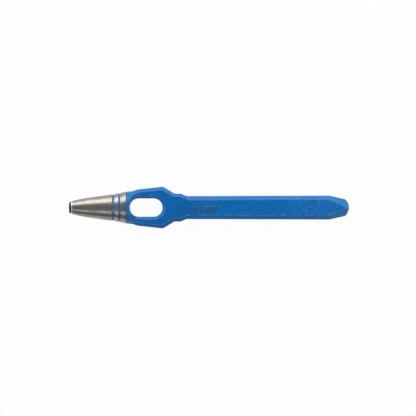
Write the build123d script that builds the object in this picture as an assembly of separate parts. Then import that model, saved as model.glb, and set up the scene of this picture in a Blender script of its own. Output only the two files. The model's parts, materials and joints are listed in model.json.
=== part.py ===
"""Drive hole punch: a turned, bare steel cutting bell on a lacquered drop-forged handle.

The tool axis is X. The cutting edge lies in the plane X = 0 and the crowned striking face is at the
far end. The eye, the slot through which the punched plugs leave, opens along Z. Sizes are millimetres.
"""

import os
from math import radians, sqrt, tan

from build123d import *

# Cutting bell, turned all round the tool axis
hole_diameter = 4.0  # the hole that the punch cuts
edge_land = 0.05  # width of the ring left flat on the cutting edge
bevel_length = 0.9  # ground bevel behind the cutting edge
bevel_radius = 2.53  # outer radius where that bevel ends
nose_length = 7.4  # rounded nose behind the bevel
nose_radius = 4.02
cone_length = 9.1  # straight cone behind the nose
cone_radius = 5.3
flare_length = 5.2  # steeper cone that carries the two grooves' rear half
joint_radius = 6.31  # outer radius where bell and handle meet
land_length = 5.0  # parallel part of the cutting bore
relief_diameter = 5.2  # wider bore that lets the plugs slide back to the eye
relief_angle = 45.0  # step from the land to the relief, from the axis

# Two turned grooves, each with a ring of lacquer left in it
groove_width = 0.78
groove_depth = 0.5
groove_setback = 0.05  # first groove's centre, ahead of the end of the straight cone
groove_spacing = 2.48  # centre to centre
lacquer_fill = 0.24  # thickness of the lacquer on the groove's floor

# Round collar at the front of the handle
collar_length = 5.0
collar_radius = 6.74
shoulder_setback = 0.8  # from the joint to where the flat eye starts to bevel out of the round
shoulder_angle = 46.0

# Flat eye, neck and shank
handle_thickness = 6.8
eye_width = 16.5  # across the rear corners
eye_front_width = 14.3  # across the front corners
eye_front_setback = 4.4  # from the joint to the front corners
eye_length = 9.9  # front corners to rear corners
eye_lead_slope = 0.325  # rise of the sides from the collar to the front corners
neck_width = 11.0
neck_slope_length = 4.45  # rear corners to the neck
neck_length = 2.5
shank_slope_length = 2.2
shank_front_width = 9.06
shank_rear_width = 9.44
eye_chamfer = 1.2
shank_chamfer = 1.5
corner_radius = 1.6  # rounding of the outline's corners, seen along Z

# Slot through the eye
slot_wall = 1.07  # from the joint to the slot
slot_length = 13.05
slot_width = 7.15
slot_mouth = 1.0  # rounding of its rim on the flat faces

# Struck end
total_length = 110.0
head_length = 7.9  # tapered end, crown included
crown_radius = 4.3
head_end_width = 6.72  # across the sides where the crown starts
head_end_thickness = 6.2
head_end_flat = 1.0  # width left of the front and back flats there

edge_round = 0.35  # forged and lacquered edges are rounded

clear = 20.0  # how far a cutting shape reaches past the handle
tiny = 1e-3

# Places along the tool axis
nose_end = bevel_length + nose_length
cone_end = nose_end + cone_length
joint = cone_end + flare_length
eye_front = joint + eye_front_setback
eye_rear = eye_front + eye_length
neck_front = eye_rear + neck_slope_length
neck_rear = neck_front + neck_length
shank_front = neck_rear + shank_slope_length
head_front = total_length - head_length
crown_centre = total_length - crown_radius
crown_front = crown_centre + sqrt(crown_radius**2 - (head_end_width / 2) ** 2)
slot_front = joint + slot_wall
slot_rear = slot_front + slot_length

half_thickness = handle_thickness / 2
shoulder_foot = joint + shoulder_setback + (joint_radius - half_thickness) / tan(radians(shoulder_angle))
relief_start = land_length + (relief_diameter - hole_diameter) / 2 / tan(radians(relief_angle))


def bell_radius(x):
    """Outer radius of the two straight cones, at x."""
    if x <= cone_end:
        return nose_radius + (cone_radius - nose_radius) * (x - nose_end) / cone_length
    return cone_radius + (joint_radius - cone_radius) * (x - cone_end) / flare_length


def turned(outline):
    """Solid of revolution about the tool axis, from (x, radius) points."""
    return revolve(make_face(Polyline(*outline, close=True)), Axis.X)


def groove_centres():
    """Places of the two grooves along the axis."""
    first = cone_end - groove_setback
    return [first, first + groove_spacing]


def groove_floor(centre):
    """Radius of a groove's floor."""
    return bell_radius(centre) - groove_depth


def make_bell():
    """The turned bell: bevel, rounded nose, two cones, the stepped bore and the two grooves."""
    along_cone = Vector(nose_end - cone_end, nose_radius - cone_radius)
    edge_radius = hole_diameter / 2 + edge_land
    nose = TangentArc((nose_end, nose_radius), (bevel_length, bevel_radius), tangent=along_cone)
    front = Polyline((nose_end, 0), (0, 0), (0, edge_radius), (bevel_length, bevel_radius))
    rear = Polyline(
        (nose_end, nose_radius), (cone_end, cone_radius), (joint, joint_radius), (joint, 0), (nose_end, 0)
    )
    bell = revolve(make_face(front + nose + rear), Axis.X)
    bell -= turned(
        [
            (0, 0),
            (0, hole_diameter / 2),
            (land_length, hole_diameter / 2),
            (relief_start, relief_diameter / 2),
            (joint, relief_diameter / 2),
            (joint, 0),
        ]
    )
    for centre in groove_centres():
        low, high = centre - groove_width / 2, centre + groove_width / 2
        floor, clear = groove_floor(centre), joint_radius + 1
        bell -= turned([(low, floor), (low, clear), (high, clear), (high, floor)])
    return bell


def make_groove_ring(centre):
    """The lacquer left in one groove."""
    low, high = centre - groove_width / 2, centre + groove_width / 2
    floor = groove_floor(centre)
    top = floor + lacquer_fill
    return turned([(low, floor), (low, top), (high, top), (high, floor)])


def outline_face():
    """The flat part of the handle seen along Z: eye, neck, shank and tapered head."""
    front_half, rear_half, neck_half = eye_front_width / 2, eye_width / 2, neck_width / 2
    shank_half, tail_half = shank_front_width / 2, shank_rear_width / 2
    lead = eye_front_setback - shoulder_setback / 2
    start = (eye_front - lead, front_half - lead * eye_lead_slope)
    taper = (tail_half - head_end_width / 2) / (crown_front - head_front)
    end = (total_length, tail_half - taper * head_length)
    corners = [
        start,
        (eye_front, front_half),
        (eye_rear, rear_half),
        (neck_front, neck_half),
        (neck_rear, neck_half),
        (shank_front, shank_half),
        (head_front, tail_half),
    ]
    side = FilletPolyline(*corners, radius=corner_radius)
    half = side + Polyline(corners[-1], end, (end[0], 0), (start[0], 0), start)
    face = make_face(half)
    return face + mirror(face, Plane.XZ)


def corner_cutter():
    """Cuts one long corner: the shank's chamfer, which fades in over the neck, and the head's facet."""
    fade = 2 * (shank_chamfer - eye_chamfer) + (neck_width - shank_front_width) / 2
    end_half = (head_end_flat - (handle_thickness - head_end_thickness)) / 2
    reach = [
        (neck_rear, shank_front_width / 2 - shank_chamfer + fade),
        (shank_front + corner_radius / 2, shank_front_width / 2 - shank_chamfer),
        (head_front, shank_rear_width / 2 - shank_chamfer),
        (crown_front, end_half),
    ]
    slope = (end_half - reach[2][1]) / (crown_front - head_front)
    reach.append((total_length, end_half + slope * (total_length - crown_front)))
    points = [(x, (y + half_thickness) / sqrt(2)) for x, y in reach]
    outline = Polyline(*points, (total_length, clear), (neck_rear, clear), close=True)
    corner = Plane(origin=(0, 0, 0), x_dir=(1, 0, 0), z_dir=(0, -1, 1))
    return extrude(corner * make_face(outline), amount=clear, both=True)


def face_cutter():
    """Tapers the head's front face."""
    drop = (handle_thickness - head_end_thickness) / 2
    end_drop = drop * head_length / (crown_front - head_front)
    outline = Polyline(
        (head_front, half_thickness),
        (total_length, half_thickness - end_drop),
        (total_length, clear),
        (head_front, clear),
        close=True,
    )
    return extrude(Plane.XZ * make_face(outline), amount=clear, both=True)


def make_block():
    """The flat part of the handle, before the slot: eye, neck, shank and crowned head."""
    block = extrude(outline_face(), amount=half_thickness, both=True)
    front = block.bounding_box().min.X
    rim = [
        edge
        for edge in block.edges()
        if abs(abs(edge.center().Z) - half_thickness) < tiny
        and tiny < edge.bounding_box().size.X
        and edge.bounding_box().min.X < head_front - tiny
    ]
    block = chamfer(rim, eye_chamfer)
    corner, face = corner_cutter(), face_cutter()
    for cutter in (corner, mirror(corner, Plane.XZ), face):
        block -= cutter
        block -= mirror(cutter, Plane.XY)
    tail = Pos(crown_centre + clear / 2, 0, 0) * Box(clear, clear, clear)
    block -= tail - Pos(crown_centre, 0, 0) * Sphere(crown_radius)
    return fillet([edge for edge in block.edges() if edge.bounding_box().max.X > front + tiny], edge_round)


def make_collar():
    """Round front of the handle, bevelled down on both faces to the flat eye."""
    end = joint + collar_length
    collar = turned([(joint, 0), (joint, joint_radius), (end, collar_radius), (end, 0)])
    rise = clear - half_thickness
    outline = Polyline(
        (shoulder_foot, half_thickness),
        (end + 1, half_thickness),
        (end + 1, half_thickness + rise),
        (shoulder_foot - rise / tan(radians(shoulder_angle)), half_thickness + rise),
        close=True,
    )
    bevel = extrude(Plane.XZ * make_face(outline), amount=clear, both=True)
    return collar - bevel - mirror(bevel, Plane.XY)


def make_handle():
    """The forged handle: round collar, eye with its slot, neck, shank and struck end."""
    handle = make_block() + make_collar()
    middle = Pos((slot_front + slot_rear) / 2, 0) * SlotOverall(slot_length, slot_width)
    handle -= extrude(middle, amount=clear, both=True)
    rim = [
        edge
        for edge in handle.edges()
        if abs(abs(edge.center().Z) - half_thickness) < tiny
        and edge.bounding_box().size.Z < tiny
        and abs(edge.center().Y) < slot_width / 2 + tiny
        and slot_front < edge.bounding_box().min.X
        and edge.bounding_box().max.X < slot_rear + tiny
    ]
    side_wall = slot_front + slot_width / 2 - shoulder_foot  # flat rim between the bevel's foot and the sides
    handle = fillet(rim, min(slot_mouth, side_wall))
    bore_length = slot_wall + slot_width / 2
    bore = Pos(joint + bore_length / 2, 0, 0) * Rot(0, 90, 0) * Cylinder(relief_diameter / 2, bore_length)
    return handle - bore


def main():
    os.makedirs("parts", exist_ok=True)
    front, rear = groove_centres()
    nodes = {
        "cutting_bell": make_bell(),
        "groove_ring_front": make_groove_ring(front),
        "groove_ring_rear": make_groove_ring(rear),
        "handle_forging": make_handle(),
    }
    for name, shape in nodes.items():
        export_step(shape, f"parts/{name}.step")
        print(name, len(shape.solids()), round(shape.volume, 1), shape.is_valid)


main()
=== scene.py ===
"""Drive hole punch: bare turned nose, lacquered forging, printed size, studio and camera.

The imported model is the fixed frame. X runs along the tool from the cutting edge to the struck end and
Z stands on the flat front face. Lengths are metres, and the tool's own are written as multiples of MM.
"""

import json
import logging
import math
from dataclasses import dataclass
from enum import Enum
from typing import Any, Callable, Union

import bpy
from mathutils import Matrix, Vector


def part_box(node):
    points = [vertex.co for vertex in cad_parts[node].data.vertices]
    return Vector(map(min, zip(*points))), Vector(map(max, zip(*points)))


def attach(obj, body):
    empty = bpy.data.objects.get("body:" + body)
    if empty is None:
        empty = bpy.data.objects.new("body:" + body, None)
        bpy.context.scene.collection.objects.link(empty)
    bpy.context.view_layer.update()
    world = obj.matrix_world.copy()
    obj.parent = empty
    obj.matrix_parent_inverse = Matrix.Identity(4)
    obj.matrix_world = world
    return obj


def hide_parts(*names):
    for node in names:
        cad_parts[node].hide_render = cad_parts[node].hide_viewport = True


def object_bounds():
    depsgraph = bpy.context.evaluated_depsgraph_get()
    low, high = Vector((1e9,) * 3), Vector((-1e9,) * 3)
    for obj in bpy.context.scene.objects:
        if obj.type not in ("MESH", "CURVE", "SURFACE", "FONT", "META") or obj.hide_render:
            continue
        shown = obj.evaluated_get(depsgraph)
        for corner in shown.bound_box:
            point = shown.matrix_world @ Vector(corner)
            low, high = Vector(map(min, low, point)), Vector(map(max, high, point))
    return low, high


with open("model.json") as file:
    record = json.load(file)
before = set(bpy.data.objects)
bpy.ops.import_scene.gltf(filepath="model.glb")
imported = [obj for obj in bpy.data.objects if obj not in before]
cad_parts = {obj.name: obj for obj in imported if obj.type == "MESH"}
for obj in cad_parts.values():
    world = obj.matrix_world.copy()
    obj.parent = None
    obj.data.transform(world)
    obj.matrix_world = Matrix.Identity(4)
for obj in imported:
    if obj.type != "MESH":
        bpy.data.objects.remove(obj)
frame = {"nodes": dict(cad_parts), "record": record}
CAD_LOW, CAD_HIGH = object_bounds()

MM = 0.001
BODY = "root"
LOG = logging.getLogger("punch")

Colour = tuple[float, float, float, float]
Pair = tuple[float, float]  # a place as (x, radius) or (x, y), or the two ends of a range
EVEN = Vector((1, 1, 1))


def srgb(red: int, green: int, blue: int) -> Colour:
    """Turns a colour given in display values into linear light.

    Args:
        red: Red from 0 to 255.
        green: Green from 0 to 255.
        blue: Blue from 0 to 255.

    Returns:
        The linear colour with full alpha.
    """

    def linear(value: int) -> float:
        """One channel in linear light."""
        share = value / 255
        return share / 12.92 if share <= 0.04045 else ((share + 0.055) / 1.055) ** 2.4

    return (linear(red), linear(green), linear(blue), 1.0)


def clamp(value: float) -> float:
    """Keeps a number between 0 and 1."""
    return min(1.0, max(0.0, value))


# Shading


class Value:
    """A number that varies over a surface, with arithmetic that adds Math nodes."""

    def __init__(self, tree: bpy.types.NodeTree, socket: bpy.types.NodeSocket) -> None:
        """Wraps an output socket of a node tree."""
        self.tree = tree
        self.socket = socket

    def _math(self, operation: str, first: Any, second: Any = 0.0) -> "Value":
        """Adds one Math node.

        Args:
            operation: The node's operation.
            first: A number or a Value.
            second: A number or a Value.

        Returns:
            The node's result.
        """
        node = self.tree.nodes.new("ShaderNodeMath")
        node.operation = operation
        for index, item in enumerate((first, second)):
            if isinstance(item, Value):
                self.tree.links.new(item.socket, node.inputs[index])
            else:
                node.inputs[index].default_value = item
        return Value(self.tree, node.outputs[0])

    def __add__(self, other: Union["Value", float]) -> "Value":
        """Sum."""
        return self._math("ADD", self, other)

    def __radd__(self, other: float) -> "Value":
        """Sum with a number in front."""
        return self._math("ADD", other, self)

    def __sub__(self, other: Union["Value", float]) -> "Value":
        """Difference."""
        return self._math("SUBTRACT", self, other)

    def __rsub__(self, other: float) -> "Value":
        """Difference from a number."""
        return self._math("SUBTRACT", other, self)

    def __mul__(self, other: Union["Value", float]) -> "Value":
        """Product."""
        return self._math("MULTIPLY", self, other)

    def __rmul__(self, other: float) -> "Value":
        """Product with a number in front."""
        return self._math("MULTIPLY", other, self)

    def swing(self) -> "Value":
        """Distance from a half, which is the middle of a noise."""
        return self - 0.5

    def band(self, low: float, high: float) -> "Value":
        """Rises smoothly from 0 at low to 1 at high, or falls where low is the larger.

        Args:
            low: The value that gives 0.
            high: The value that gives 1.

        Returns:
            The masked value from 0 to 1.
        """
        node = self.tree.nodes.new("ShaderNodeMapRange")
        node.interpolation_type = "SMOOTHSTEP"
        self.tree.links.new(self.socket, node.inputs["Value"])
        start, end = (low, high) if low < high else (high, low)
        node.inputs["From Min"].default_value = start
        node.inputs["From Max"].default_value = end
        node.inputs["To Min"].default_value = 0.0 if low < high else 1.0
        node.inputs["To Max"].default_value = 1.0 if low < high else 0.0
        return Value(self.tree, node.outputs["Result"])


class Finish:
    """A material with one Principled shader, built node by node."""

    def __init__(self, name: str, constants: dict[str, Any]) -> None:
        """Makes the material.

        Args:
            name: The material's name.
            constants: Values of the shader's own sockets that are the same all over.
        """
        self.material = bpy.data.materials.new(name)
        self.material.use_nodes = True
        self.tree = self.material.node_tree
        self.tree.nodes.clear()
        self.shader = self.node("ShaderNodeBsdfPrincipled", {}, constants)
        self.node("ShaderNodeOutputMaterial", {}, {"Surface": self.shader.outputs[0]})
        coordinate = self.node("ShaderNodeTexCoord", {}, {})
        self.place = coordinate.outputs["Object"]
        split = self.node("ShaderNodeSeparateXYZ", {}, {"Vector": self.place})
        self.x = Value(self.tree, split.outputs["X"])
        self.y = Value(self.tree, split.outputs["Y"])

    def node(self, kind: str, settings: dict[str, Any], sockets: dict[Any, Any]) -> bpy.types.Node:
        """Adds a node.

        Args:
            kind: The node's type.
            settings: Properties, which are set first.
            sockets: Input name or index to a number, colour, Value or output socket.

        Returns:
            The new node.
        """
        made = self.tree.nodes.new(kind)
        for name, setting in settings.items():
            setattr(made, name, setting)
        for name, item in sockets.items():
            self.feed(made.inputs[name], item)
        return made

    def feed(self, socket: bpy.types.NodeSocket, item: Any) -> None:
        """Links or sets one input."""
        if isinstance(item, Value):
            self.tree.links.new(item.socket, socket)
        elif isinstance(item, bpy.types.NodeSocket):
            self.tree.links.new(item, socket)
        else:
            socket.default_value = item

    def noise(self, size: float, detail: float, stretch: Vector = EVEN) -> Value:
        """Cloudy noise that is centred on a half.

        Args:
            size: The size of its blotches, in metres.
            detail: Octaves of finer noise.
            stretch: How much longer the blotches are along each axis.

        Returns:
            The noise, from about 0.2 to 0.8.
        """
        scale = Vector((1 / (size * part) for part in stretch))
        mapped = self.node("ShaderNodeMapping", {}, {"Vector": self.place, "Scale": scale})
        sockets = {"Vector": mapped.outputs[0], "Scale": 1.0, "Detail": detail}
        made = self.node("ShaderNodeTexNoise", {}, sockets)
        return Value(self.tree, made.outputs["Fac"])

    def blend(self, amount: Value, first: Any, second: Any) -> bpy.types.NodeSocket:
        """Mixes two colours.

        Args:
            amount: 0 gives the first and 1 the second.
            first: A colour or a socket.
            second: A colour or a socket.

        Returns:
            The mixed colour's socket.
        """
        settings = {"data_type": "RGBA", "clamp_factor": True}
        made = self.node("ShaderNodeMix", settings, {"Factor": amount, 6: first, 7: second})
        return made.outputs[2]

    def relief(self, height: Value, depth: float) -> None:
        """Feeds a bump into the shader's normal.

        Args:
            height: Height from 0 to 1.
            depth: What a height of 1 is worth, in metres.
        """
        made = self.node("ShaderNodeBump", {}, {"Height": height, "Distance": depth, "Strength": 1.0})
        self.feed(self.shader.inputs["Normal"], made.outputs["Normal"])

    def dress(self, *pieces: bpy.types.Object) -> None:
        """Gives the finish to whole pieces."""
        for piece in pieces:
            piece.data.materials.clear()
            piece.data.materials.append(self.material)


@dataclass(frozen=True)
class TurnedSteel:
    """Bare tool steel with marks that run round the axis, a painted highlight ring behind a near-black
    cutting lip, and a painted shade line at the joint.
    """

    light: Colour = srgb(168, 163, 155)
    dark: Colour = srgb(114, 109, 103)
    # near-black colour of the cutting lip
    lip_black: Colour = srgb(34, 30, 30)
    # painted highlight colour for the ring just behind the cutting edge
    painted_highlight: Colour = srgb(240, 236, 232)
    # painted shade colour for the line just in front of the joint
    seam_shade: Colour = srgb(62, 57, 50)
    middle_tone: float = 0.45
    roughness: float = 0.33
    mark_pitch: float = 0.16 * MM
    mark_length: float = 90.0  # as a multiple of the pitch, like coarse_length
    mark_tone: float = 0.35
    mark_rough: float = 0.12
    mark_depth: float = 0.012 * MM
    coarse_pitch: float = 0.64 * MM
    coarse_length: float = 60.0
    coarse_tone: float = 0.3
    coarse_height: float = 1.4
    mark_detail: float = 2.0
    cloud_size: float = 2.4 * MM
    cloud_length: float = 2.2
    cloud_detail: float = 4.0
    cloud_tone: float = 1.1
    cloud_rough: float = 0.25
    groove_zone: Pair = (16.2 * MM, 17.0 * MM)
    groove_tone: float = 1.9
    lip_black_end: Pair = (0.9 * MM, 0.78 * MM)
    painted_highlight_end: Pair = (1.25 * MM, 1.1 * MM)
    painted_highlight_share: float = 0.8
    seam_shade_width: float = 0.3 * MM
    seam_shade_share: float = 0.8

    def build(self) -> Finish:
        """Makes the steel.

        Returns:
            The finish.
        """
        finish = Finish("turned_steel", {"Metallic": 1.0})
        round_axis = Vector((1, self.mark_length, self.mark_length))
        marks = finish.noise(self.mark_pitch, self.mark_detail, round_axis)
        round_axis = Vector((1, self.coarse_length, self.coarse_length))
        coarse = finish.noise(self.coarse_pitch, self.mark_detail, round_axis)
        cloud = finish.noise(self.cloud_size, self.cloud_detail, Vector((self.cloud_length, 1, 1)))
        rear = self.groove_tone * finish.x.band(*self.groove_zone)
        streak = marks.swing() * (self.mark_tone + rear) + coarse.swing() * (self.coarse_tone + rear)
        tone = self.middle_tone + streak + cloud.swing() * self.cloud_tone
        colour = finish.blend(tone, self.light, self.dark)
        # painted highlight: a near-white ring just behind the near-black lip, up to about 1.25 mm from
        # the edge, in place of the light the edge catches
        painted_highlight = finish.x.band(*self.painted_highlight_end) * self.painted_highlight_share
        colour = finish.blend(painted_highlight, colour, self.painted_highlight)
        # colours the cutting lip, the first 0.8 to 0.9 mm from the edge, near black
        colour = finish.blend(finish.x.band(*self.lip_black_end), colour, self.lip_black)
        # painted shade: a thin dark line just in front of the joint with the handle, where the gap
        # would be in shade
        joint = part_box("cutting_bell")[1].x
        seam_shade = finish.x.band(joint - self.seam_shade_width, joint - self.seam_shade_width / 3)
        colour = finish.blend(seam_shade * self.seam_shade_share, colour, self.seam_shade)
        finish.feed(finish.shader.inputs["Base Color"], colour)
        rough = self.roughness + cloud.swing() * self.cloud_rough + marks.swing() * self.mark_rough
        finish.feed(finish.shader.inputs["Roughness"], rough)
        finish.relief(marks + coarse * self.coarse_height, self.mark_depth)
        return finish


@dataclass(frozen=True)
class ForgedLacquer:
    """Blue lacquer over a forged surface."""

    body: Colour = srgb(0, 112, 190)
    deep: Colour = srgb(0, 99, 171)
    # lighter blue for worn paint, and for a painted highlight along the flats' edges
    wear_and_highlight: Colour = srgb(86, 152, 206)
    ior: float = 1.5
    specular: float = 0.25
    roughness: float = 0.31
    cloud_size: float = 7 * MM
    cloud_length: float = 2.0
    cloud_low: float = 0.3
    cloud_gain: float = 2.2
    cloud_detail: float = 3.0
    peel_size: float = 0.55 * MM
    peel_detail: float = 2.0
    peel_rough: float = 0.15
    peel_height: float = 0.5
    pit_size: float = 1.1 * MM
    pit_length: float = 1.8
    pit_detail: float = 5.0
    pit_band: Pair = (0.61, 0.72)
    pit_height: float = 0.8
    struck_stretch: tuple[float, float, float] = (0.45, 1.6, 1.6)
    struck_band: Pair = (0.46, 0.68)
    struck_share: float = 0.75
    tail: Pair = (80 * MM, 98 * MM)
    rim_outside: Pair = (0.78, 0.88)  # square of the normal's Z, as for rim_inside
    rim_inside: Pair = (0.998, 0.97)
    rim_upper: float = 0.35
    rim_lower: float = 0.65
    rim_split: float = 0.5 * MM
    rim_base: float = 0.3
    rim_breaks: Pair = (0.4, 0.58)
    wear_and_highlight_share: float = 0.5
    wear_and_highlight_rough: float = 0.12
    depth: float = 0.02 * MM

    def rim_wear_and_highlight(self, finish: Finish) -> Value:
        """Marks the line where a flat face begins to roll over its edge, mostly on the lower side, as
        worn paint and partly a painted highlight.

        Args:
            finish: The lacquer's finish.

        Returns:
            1 on the line and 0 elsewhere.
        """
        geometry = finish.node("ShaderNodeNewGeometry", {}, {})
        split = finish.node("ShaderNodeSeparateXYZ", {}, {"Vector": geometry.outputs["Normal"]})
        facing = Value(finish.tree, split.outputs["Z"])
        square = facing * facing
        line = square.band(*self.rim_outside) * square.band(*self.rim_inside)
        lower = finish.y.band(self.rim_split, -self.rim_split)
        return line * (self.rim_upper + self.rim_lower * lower)

    def build(self) -> Finish:
        """Makes the lacquer.

        Returns:
            The finish.
        """
        finish = Finish("blue_lacquer", {"IOR": self.ior, "Specular IOR Level": self.specular})
        cloud = finish.noise(self.cloud_size, self.cloud_detail, Vector((self.cloud_length, 1, 1)))
        peel = finish.noise(self.peel_size, self.peel_detail)
        pits = finish.noise(self.pit_size, self.pit_detail, Vector((self.pit_length, 1, 1)))
        struck = finish.noise(self.pit_size, self.pit_detail, Vector(self.struck_stretch))
        broken = self.rim_base + pits.band(*self.rim_breaks)
        # lighter for pits and hammer marks, which are worn paint, and along the flats' edges, which are
        # partly wear and partly a painted highlight, stronger on the lower side
        wear_and_highlight_mask = pits.band(*self.pit_band) + self.rim_wear_and_highlight(finish) * broken
        marked = finish.x.band(*self.tail) * struck.band(*self.struck_band)
        wear_and_highlight_mask = wear_and_highlight_mask + marked * self.struck_share
        colour = finish.blend((cloud - self.cloud_low) * self.cloud_gain, self.body, self.deep)
        colour = finish.blend(wear_and_highlight_mask * self.wear_and_highlight_share, colour, self.wear_and_highlight)
        finish.feed(finish.shader.inputs["Base Color"], colour)
        rough = self.roughness + peel.swing() * self.peel_rough + wear_and_highlight_mask * self.wear_and_highlight_rough
        finish.feed(finish.shader.inputs["Roughness"], rough)
        finish.relief(peel * self.peel_height + pits * self.pit_height, self.depth)
        return finish


@dataclass(frozen=True)
class PrintedInk:
    """Dark ink with worn patches."""

    dark: Colour = srgb(30, 92, 92)
    faded: Colour = srgb(22, 104, 142)
    ior: float = 1.45
    roughness: float = 0.5
    wear_size: float = 0.5 * MM
    wear_detail: float = 4.0
    wear_band: Pair = (0.5, 0.72)
    wear_rough: float = 0.3

    def build(self) -> Finish:
        """Makes the ink.

        Returns:
            The finish.
        """
        finish = Finish("printed_ink", {"IOR": self.ior})
        wear = finish.noise(self.wear_size, self.wear_detail)
        colour = finish.blend(wear.band(*self.wear_band), self.dark, self.faded)
        finish.feed(finish.shader.inputs["Base Color"], colour)
        rough = self.roughness + wear.swing() * self.wear_rough
        finish.feed(finish.shader.inputs["Roughness"], rough)
        return finish


# Modelling


class Bench:
    """Modelling steps that are done the same way on every piece."""

    BEVEL_SEGMENTS = 2
    BEVEL_ANGLE = math.radians(25)
    SMOOTH_ANGLE = math.radians(35)

    @staticmethod
    def deselect() -> None:
        """Leaves object mode ready for a new piece, with nothing selected."""
        if bpy.context.object and bpy.context.object.mode != "OBJECT":
            bpy.ops.object.mode_set(mode="OBJECT")
        bpy.ops.object.select_all(action="DESELECT")

    @staticmethod
    def pick(piece: bpy.types.Object) -> None:
        """Selects one piece and makes it active."""
        Bench.deselect()
        piece.select_set(True)
        bpy.context.view_layer.objects.active = piece

    @staticmethod
    def settle(piece: bpy.types.Object) -> None:
        """Moves the piece's place into its mesh."""
        Bench.pick(piece)
        bpy.ops.object.transform_apply(location=True, rotation=True, scale=True)

    @staticmethod
    def modify(piece: bpy.types.Object, kind: str, **settings: Any) -> None:
        """Adds a modifier and applies it.

        Args:
            piece: The piece.
            kind: The modifier's type.
            **settings: Its properties.
        """
        Bench.pick(piece)
        modifier = piece.modifiers.new(kind.lower(), kind)
        for name, setting in settings.items():
            setattr(modifier, name, setting)
        bpy.ops.object.modifier_apply(modifier=modifier.name)

    @staticmethod
    def turn(name: str, outline: list[Pair], segments: int, rounding: float) -> bpy.types.Object:
        """Turns a closed ring from a closed outline, ring by ring from a circle.

        Args:
            name: The piece's name.
            outline: (x, radius) points, in metres, round the section.
            segments: Sides of each ring.
            rounding: Radius of the sharp edges.

        Returns:
            The finished ring.
        """
        Bench.deselect()
        x, radius = outline[0]
        bpy.ops.mesh.primitive_circle_add(
            vertices=segments, radius=radius, location=(x, 0, 0), rotation=(0, math.pi / 2, 0)
        )
        piece = bpy.context.object
        piece.name = name
        Bench.settle(piece)
        bpy.ops.object.mode_set(mode="EDIT")
        bpy.ops.mesh.select_all(action="SELECT")
        for next_x, next_radius in outline[1:]:
            bpy.ops.mesh.extrude_region_move(TRANSFORM_OT_translate={"value": (next_x - x, 0, 0)})
            share = next_radius / radius
            bpy.ops.transform.resize(value=(1, share, share), center_override=(next_x, 0, 0))
            x, radius = next_x, next_radius
        bpy.ops.mesh.select_all(action="DESELECT")
        bpy.ops.mesh.select_mode(type="EDGE")
        bpy.ops.mesh.select_non_manifold()
        bpy.ops.mesh.bridge_edge_loops()
        bpy.ops.mesh.select_all(action="SELECT")
        bpy.ops.mesh.normals_make_consistent(inside=False)
        bpy.ops.object.mode_set(mode="OBJECT")
        Bench.modify(
            piece, "BEVEL", width=rounding, segments=Bench.BEVEL_SEGMENTS,
            limit_method="ANGLE", angle_limit=Bench.BEVEL_ANGLE,
        )
        Bench.pick(piece)
        bpy.ops.object.shade_smooth_by_angle(angle=Bench.SMOOTH_ANGLE)
        return piece


def arc(start: Pair, end: Pair, slope: float, steps: int) -> list[Pair]:
    """Points along the arc that passes through start and meets end at a given slope.

    Args:
        start: (x, radius) where the arc begins.
        end: (x, radius) where it ends.
        slope: Its slope at the end.
        steps: Number of pieces.

    Returns:
        The points between start and end, both left out.
    """
    normal = Vector((-slope, 1.0)).normalized()
    chord = Vector(start) - Vector(end)
    radius = chord.length_squared / (2 * -chord.dot(normal))
    centre = Vector(end) - normal * radius
    first = math.atan2(start[1] - centre.y, start[0] - centre.x)
    last = math.atan2(end[1] - centre.y, end[0] - centre.x)
    angles = [first + (last - first) * step / steps for step in range(1, steps)]
    return [(centre.x + radius * math.cos(a), centre.y + radius * math.sin(a)) for a in angles]


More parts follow.
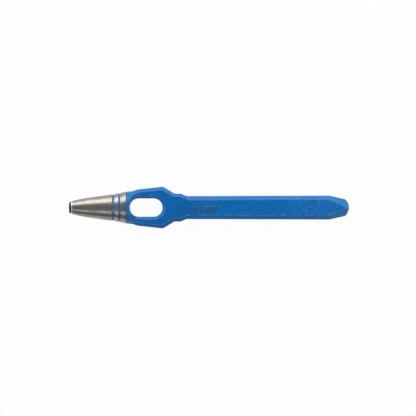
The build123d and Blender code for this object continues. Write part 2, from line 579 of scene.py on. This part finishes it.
@dataclass
class CuttingBell:
    """The bare turned nose with its bore, and the lacquer left in its two grooves."""

    lip_radius: float = 2.05 * MM
    bevel_end: Pair = (0.9 * MM, 2.53 * MM)
    nose_end: Pair = (8.3 * MM, 4.02 * MM)
    cone_end: Pair = (17.4 * MM, 5.3 * MM)
    relief_radius: float = 2.6 * MM
    groove_depth: float = 0.5 * MM
    nose_steps: int = 10
    segments: int = 160
    rounding: float = 0.02 * MM

    def __post_init__(self) -> None:
        """Takes the joint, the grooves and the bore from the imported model."""
        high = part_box("cutting_bell")[1]
        self.joint = (high.x, high.z)
        bore = next(m for m in frame["record"]["mounts"] if m["name"] == "cutting_bore")
        self.bore_radius = bore["dims"]["r_mm"] * MM
        self.land = bore["dims"]["length_mm"] * MM
        self.grooves = []
        for node in ("groove_ring_front", "groove_ring_rear"):
            low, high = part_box(node)
            self.grooves.append((node, low.x, high.x, high.z))

    def outer(self, x: float) -> float:
        """Outer radius of the straight cones at x."""
        if x <= self.cone_end[0]:
            (x0, r0), (x1, r1) = self.nose_end, self.cone_end
        else:
            (x0, r0), (x1, r1) = self.cone_end, self.joint
        return r0 + (r1 - r0) * (x - x0) / (x1 - x0)

    def floor(self, low: float, high: float) -> float:
        """Radius of the floor of the groove between two places."""
        return self.outer((low + high) / 2) - self.groove_depth

    def outline(self) -> list[Pair]:
        """The bell's whole section, from the cutting edge round to the bore.

        Returns:
            (x, radius) points.
        """
        slope = (self.cone_end[1] - self.nose_end[1]) / (self.cone_end[0] - self.nose_end[0])
        points = [(0.0, self.lip_radius), self.bevel_end]
        points += arc(self.bevel_end, self.nose_end, slope, self.nose_steps)
        points.append(self.nose_end)
        for _, low, high, _ in self.grooves:
            floor = self.floor(low, high)
            points += [(low, self.outer(low)), (low, floor), (high, floor), (high, self.outer(high))]
        points.append(self.joint)
        step = self.relief_radius - self.bore_radius
        points += [(self.joint[0], self.relief_radius), (self.land + step, self.relief_radius)]
        points += [(self.land, self.bore_radius), (0.0, self.bore_radius)]
        return points

    def build(self, steel: Finish, lacquer: Finish) -> list[bpy.types.Object]:
        """Makes the bell and its two lacquer rings.

        Args:
            steel: The bell's finish.
            lacquer: The rings' finish.

        Returns:
            The pieces.
        """
        bell = Bench.turn("turned_bell", self.outline(), self.segments, self.rounding)
        steel.dress(bell)
        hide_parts("cutting_bell")
        pieces = [bell]
        for node, low, high, top in self.grooves:
            floor = self.floor(low, high)
            section = [(low, floor), (low, top), (high, top), (high, floor)]
            ring = Bench.turn(node + "_lacquer", section, self.segments, self.rounding)
            lacquer.dress(ring)
            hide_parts(node)
            pieces.append(ring)
        for piece in pieces:
            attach(piece, BODY)
        return pieces


@dataclass
class Handle:
    """The lacquered forging, softened all over as a forging is, and more at the eye's mouth."""

    merge: float = 0.002 * MM
    voxel: float = 0.2 * MM
    soften_share: float = 0.5
    soften_steps: int = 5
    mouth_steps: int = 40
    mouth_band: float = 1.9 * MM
    mouth_gain: float = 1.6  # above 1, the band nearest the eye has full weight
    mouth_start: float = 26.0 * MM
    mouth_fade: float = 2.0 * MM
    pinned: float = 0.35 * MM
    pinned_offset: float = 0.3  # share of that length that doesn't move at all
    wave_height: float = 0.05 * MM
    wave_size: float = 7 * MM
    wave_middle: float = 0.6
    eye_ends: Pair = (23.67 * MM, 36.72 * MM)
    eye_half: float = 3.575 * MM
    weight_steps: int = 10

    def __post_init__(self) -> None:
        """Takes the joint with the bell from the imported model."""
        self.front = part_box("handle_forging")[0].x

    def free(self, place: Vector) -> float:
        """How much a point may move: not at all at the joint, and fully a little behind it."""
        return clamp((place.x - self.front) / self.pinned - self.pinned_offset)

    def mouth(self, place: Vector) -> float:
        """How strongly a point belongs to the eye's rounded mouth, from 0 to 1."""
        low, high = self.eye_ends[0] + self.eye_half, self.eye_ends[1] - self.eye_half
        nearest = min(max(place.x, low), high)
        reach = math.hypot(place.x - nearest, place.y) - self.eye_half
        behind = clamp((place.x - self.mouth_start) / self.mouth_fade)
        return behind * clamp(self.mouth_gain - reach / self.mouth_band * self.mouth_gain)

    def weigh(self, piece: bpy.types.Object, name: str, rule: Callable[[Vector], float]) -> None:
        """Makes a vertex group.

        Args:
            piece: The piece.
            name: The group's name.
            rule: Weight of a point, from 0 to 1, which is rounded to a few steps.
        """
        group = piece.vertex_groups.new(name=name)
        bins: dict[int, list[int]] = {}
        for vertex in piece.data.vertices:
            step = round(rule(vertex.co) * self.weight_steps)
            bins.setdefault(step, []).append(vertex.index)
        for step, members in bins.items():
            if step > 0:
                group.add(members, step / self.weight_steps, "REPLACE")

    def soften(self, piece: bpy.types.Object, group: str, steps: int) -> None:
        """Smooths the part of the mesh that a vertex group holds."""
        share = self.soften_share
        Bench.modify(piece, "SMOOTH", factor=share, iterations=steps, vertex_group=group)

    def build(self, lacquer: Finish) -> bpy.types.Object:
        """Makes the handle.

        Args:
            lacquer: Its finish.

        Returns:
            The piece.
        """
        mesh = frame["nodes"]["handle_forging"].data.copy()
        piece = bpy.data.objects.new("lacquered_handle", mesh)
        bpy.context.scene.collection.objects.link(piece)
        Bench.pick(piece)
        bpy.ops.object.mode_set(mode="EDIT")
        bpy.ops.mesh.select_all(action="SELECT")
        bpy.ops.mesh.remove_doubles(threshold=self.merge)
        bpy.ops.object.mode_set(mode="OBJECT")
        Bench.modify(piece, "REMESH", mode="VOXEL", voxel_size=self.voxel)
        self.weigh(piece, "free", self.free)
        self.weigh(piece, "mouth", self.mouth)
        self.soften(piece, "free", self.soften_steps)
        self.soften(piece, "mouth", self.mouth_steps)
        waves = bpy.data.textures.new("forging_waves", "CLOUDS")
        waves.noise_scale = self.wave_size
        Bench.modify(
            piece, "DISPLACE", texture=waves, texture_coords="LOCAL", strength=self.wave_height,
            mid_level=self.wave_middle, vertex_group="free",
        )
        piece.vertex_groups.clear()
        Bench.pick(piece)
        bpy.ops.object.shade_smooth()
        lacquer.dress(piece)
        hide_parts("handle_forging")
        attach(piece, BODY)
        return piece


@dataclass(frozen=True)
class WordBox:
    """The space that a printed word fills, seen on the front face."""

    left: float
    foot: float
    width: float
    height: float


@dataclass
class SizeMarking:
    """The printed size and the dot before it, on the shank's front face."""

    digit_box: WordBox = WordBox(48.2 * MM, -1.5 * MM, 2.1 * MM, 2.6 * MM)
    unit_box: WordBox = WordBox(51.7 * MM, -1.75 * MM, 6.3 * MM, 2.35 * MM)
    dot_place: Pair = (46.1 * MM, -0.5 * MM)
    dot_radius: float = 0.48 * MM
    dot_sides: int = 20
    slant: float = 0.12
    weight: float = 0.022
    curve_steps: int = 6
    start_height: float = 1.0 * MM  # over the face, before the marking is laid on it
    lift: float = 0.012 * MM
    film: float = 0.01 * MM

    def word(self, text: str, box: WordBox, height: float) -> bpy.types.Object:
        """Sets a word into a box.

        Args:
            text: What it says.
            box: Where it stands.
            height: How high it lies.

        Returns:
            The word as a flat mesh.
        """
        Bench.deselect()
        bpy.ops.object.text_add(location=(0, 0, 0))
        piece = bpy.context.object
        piece.data.body = text
        piece.data.shear = self.slant
        piece.data.offset = self.weight
        piece.data.resolution_u = self.curve_steps
        bpy.ops.object.convert(target="MESH")
        corners = [vertex.co for vertex in piece.data.vertices]
        left, foot = min(c.x for c in corners), min(c.y for c in corners)
        wide, tall = max(c.x for c in corners) - left, max(c.y for c in corners) - foot
        across, up = box.width / wide, box.height / tall
        piece.scale = (across, up, 1)
        piece.location = (box.left - left * across, box.foot - foot * up, height)
        Bench.settle(piece)
        return piece

    def build(self, handle: bpy.types.Object, ink: Finish) -> bpy.types.Object:
        """Prints the marking on the handle.

        Args:
            handle: The piece that it lies on.
            ink: Its finish.

        Returns:
            The piece.
        """
        face = next(m for m in frame["record"]["mounts"] if m["name"] == "shank_front_face")
        height = face["pos_m"][2] + self.start_height
        digit = self.word("4", self.digit_box, height)
        unit = self.word("mm", self.unit_box, height)
        Bench.deselect()
        bpy.ops.mesh.primitive_circle_add(
            vertices=self.dot_sides, radius=self.dot_radius, fill_type="NGON",
            location=(*self.dot_place, height),
        )
        dot = bpy.context.object
        Bench.settle(dot)
        Bench.deselect()
        for part in (digit, unit, dot):
            part.select_set(True)
        bpy.context.view_layer.objects.active = digit
        bpy.ops.object.join()
        piece = bpy.context.object
        piece.name = "size_marking"
        Bench.modify(
            piece, "SHRINKWRAP", target=handle, wrap_method="PROJECT", use_project_z=True,
            use_negative_direction=True, use_positive_direction=False, offset=self.lift,
        )
        Bench.modify(piece, "SOLIDIFY", thickness=self.film, offset=1.0)
        ink.dress(piece)
        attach(piece, BODY)
        return piece


# Studio


class Side(Enum):
    """Where a lamp stands, seen from above the front face."""

    UPPER = Vector((0.0, 1.0, 0.25))
    LOWER = Vector((0.0, -1.0, 0.08))


@dataclass(frozen=True)
class Card:
    """A grey card that only shows in reflections.

    The place of its middle is measured from the tool's middle, its size is along the tool and across
    it, its tone is a linear grey, and it leans about the tool's axis by an angle in degrees.
    """

    name: str
    place: tuple[float, float, float]
    size: Pair
    tone: float
    lean: float


@dataclass
class Studio:
    """Pale floor, two soft lamps, cards that the steel reflects, and the camera."""

    distance: float = 0.5
    upper_power: float = 8.6
    lower_power: float = 3.1
    lamp_long: float = 1.2
    lamp_wide: float = 1.1
    ambient: float = 0.25
    floor_size: float = 6.0
    floor_white: float = 0.86
    floor_glow: float = 0.97
    floor_gap: float = 0.02 * MM
    head_length: float = 7.9 * MM
    camera_away: float = 0.9
    view_width: float = 163.55 * MM
    aim: Pair = (-0.46 * MM, -0.16 * MM)
    sensor: float = 36.0
    cards: tuple[Card, ...] = (
        Card("dark_card", (0.0, 0.06, 0.3), (0.9, 0.52), 0.25, 0.0),
        Card("grey_card", (0.0, -0.28, 0.18), (0.9, 0.28), 0.27, -57.0),
        Card("dark_strip", (0.0, -0.3, 0.045), (0.9, 0.13), 0.03, -90.0),
    )

    def ray_mask(self, tree: bpy.types.NodeTree) -> Value:
        """1 for what the camera, a mirror or clear glass sees, 0 for what lights the object."""
        path = tree.nodes.new("ShaderNodeLightPath")
        camera = Value(tree, path.outputs["Is Camera Ray"])
        glossy = Value(tree, path.outputs["Is Glossy Ray"])
        clear = Value(tree, path.outputs["Is Transmission Ray"])
        return (camera + glossy + clear).band(0.0, 1.0)

    def world(self) -> None:
        """White where it is seen, grey where it lights."""
        world = bpy.data.worlds.new("studio")
        bpy.context.scene.world = world
        world.use_nodes = True
        tree = world.node_tree
        back = tree.nodes["Background"]
        back.inputs["Color"].default_value = (1, 1, 1, 1)
        strength = self.ray_mask(tree) * (1 - self.ambient) + self.ambient
        tree.links.new(strength.socket, back.inputs["Strength"])

    def floor(self, low: Vector, high: Vector) -> None:
        """Lays the floor against the collar and the tail, which carry the tool when it lies down.

        Args:
            low: The tool's lowest corner.
            high: Its highest corner.
        """
        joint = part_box("cutting_bell")[1]
        shank = next(m for m in frame["record"]["mounts"] if m["name"] == "shank_back_face")
        tail_x, tail_z = high.x - self.head_length, shank["pos_m"][2]
        tilt = math.atan2(tail_z - low.z, tail_x - joint.x)
        Bench.deselect()
        bpy.ops.mesh.primitive_plane_add(
            size=self.floor_size, location=(joint.x, 0, low.z - self.floor_gap),
            rotation=(0, -tilt, 0),
        )
        floor = bpy.context.object
        floor.name = "studio_floor"
        Bench.settle(floor)
        material = bpy.data.materials.new("studio_floor")
        material.use_nodes = True
        tree = material.node_tree
        tree.nodes.clear()
        matte = tree.nodes.new("ShaderNodeBsdfDiffuse")
        matte.inputs["Color"].default_value = (*[self.floor_white] * 3, 1)
        glow = tree.nodes.new("ShaderNodeEmission")
        mix = tree.nodes.new("ShaderNodeMixShader")
        out = tree.nodes.new("ShaderNodeOutputMaterial")
        amount = self.ray_mask(tree) * self.floor_glow
        tree.links.new(amount.socket, mix.inputs[0])
        tree.links.new(matte.outputs[0], mix.inputs[1])
        tree.links.new(glow.outputs[0], mix.inputs[2])
        tree.links.new(mix.outputs[0], out.inputs["Surface"])
        floor.data.materials.append(material)

    def lamp(self, name: str, side: Side, power: float, centre: Vector) -> None:
        """Adds one large soft lamp.

        Args:
            name: Its name.
            side: Where it stands.
            power: Its power in watts.
            centre: What it points at.
        """
        data = bpy.data.lights.new(name, "AREA")
        data.shape = "RECTANGLE"
        data.size, data.size_y = self.lamp_long, self.lamp_wide
        data.energy = power
        lamp = bpy.data.objects.new(name, data)
        bpy.context.scene.collection.objects.link(lamp)
        away = side.value.normalized()
        lamp.location = centre + away * self.distance
        lamp.rotation_mode = "QUATERNION"
        lamp.rotation_quaternion = (-away).to_track_quat("-Z", "Y")

    def hang(self, plan: Card, middle: Vector) -> None:
        """Hangs one card.

        Args:
            plan: What the card is like.
            middle: The tool's middle.
        """
        Bench.deselect()
        bpy.ops.mesh.primitive_plane_add(
            size=1.0, location=middle + Vector(plan.place), rotation=(math.radians(plan.lean), 0, 0)
        )
        card = bpy.context.object
        card.name = plan.name
        card.scale = (*plan.size, 1)
        Bench.settle(card)
        material = bpy.data.materials.new(plan.name)
        material.use_nodes = True
        tree = material.node_tree
        tree.nodes.clear()
        glow = tree.nodes.new("ShaderNodeEmission")
        glow.inputs["Color"].default_value = (*[plan.tone] * 3, 1)
        out = tree.nodes.new("ShaderNodeOutputMaterial")
        tree.links.new(glow.outputs[0], out.inputs["Surface"])
        card.data.materials.append(material)
        card.visible_camera = False
        card.visible_shadow = False
        card.visible_diffuse = False

    def camera(self, centre: Vector) -> None:
        """Looks straight down on the front face from far away."""
        data = bpy.data.cameras.new("camera")
        data.sensor_width = self.sensor
        data.lens = self.sensor * self.camera_away / self.view_width
        camera = bpy.data.objects.new("camera", data)
        bpy.context.scene.collection.objects.link(camera)
        camera.location = centre + Vector((self.aim[0], self.aim[1], self.camera_away))
        bpy.context.scene.camera = camera

    def build(self) -> None:
        """Sets up everything that isn't part of the tool."""
        middle = Vector(((CAD_LOW.x + CAD_HIGH.x) / 2, 0, 0))
        self.camera(middle)
        self.world()
        self.floor(CAD_LOW, CAD_HIGH)
        self.lamp("upper_lamp", Side.UPPER, self.upper_power, middle)
        self.lamp("lower_lamp", Side.LOWER, self.lower_power, middle)
        for plan in self.cards:
            self.hang(plan, middle)


def main() -> None:
    """Builds the tool and its studio, and logs each piece's face count."""
    logging.basicConfig(level=logging.INFO, format="%(name)s: %(message)s")
    scene = bpy.context.scene
    scene.view_settings.view_transform = "Standard"
    steel, lacquer, ink = TurnedSteel().build(), ForgedLacquer().build(), PrintedInk().build()
    pieces = CuttingBell().build(steel, lacquer)
    handle = Handle().build(lacquer)
    pieces += [handle, SizeMarking().build(handle, ink)]
    Studio().build()
    Bench.deselect()
    for piece in pieces:
        LOG.info("%s has %d faces", piece.name, len(piece.data.polygons))


if __name__ == "__main__":
    main()
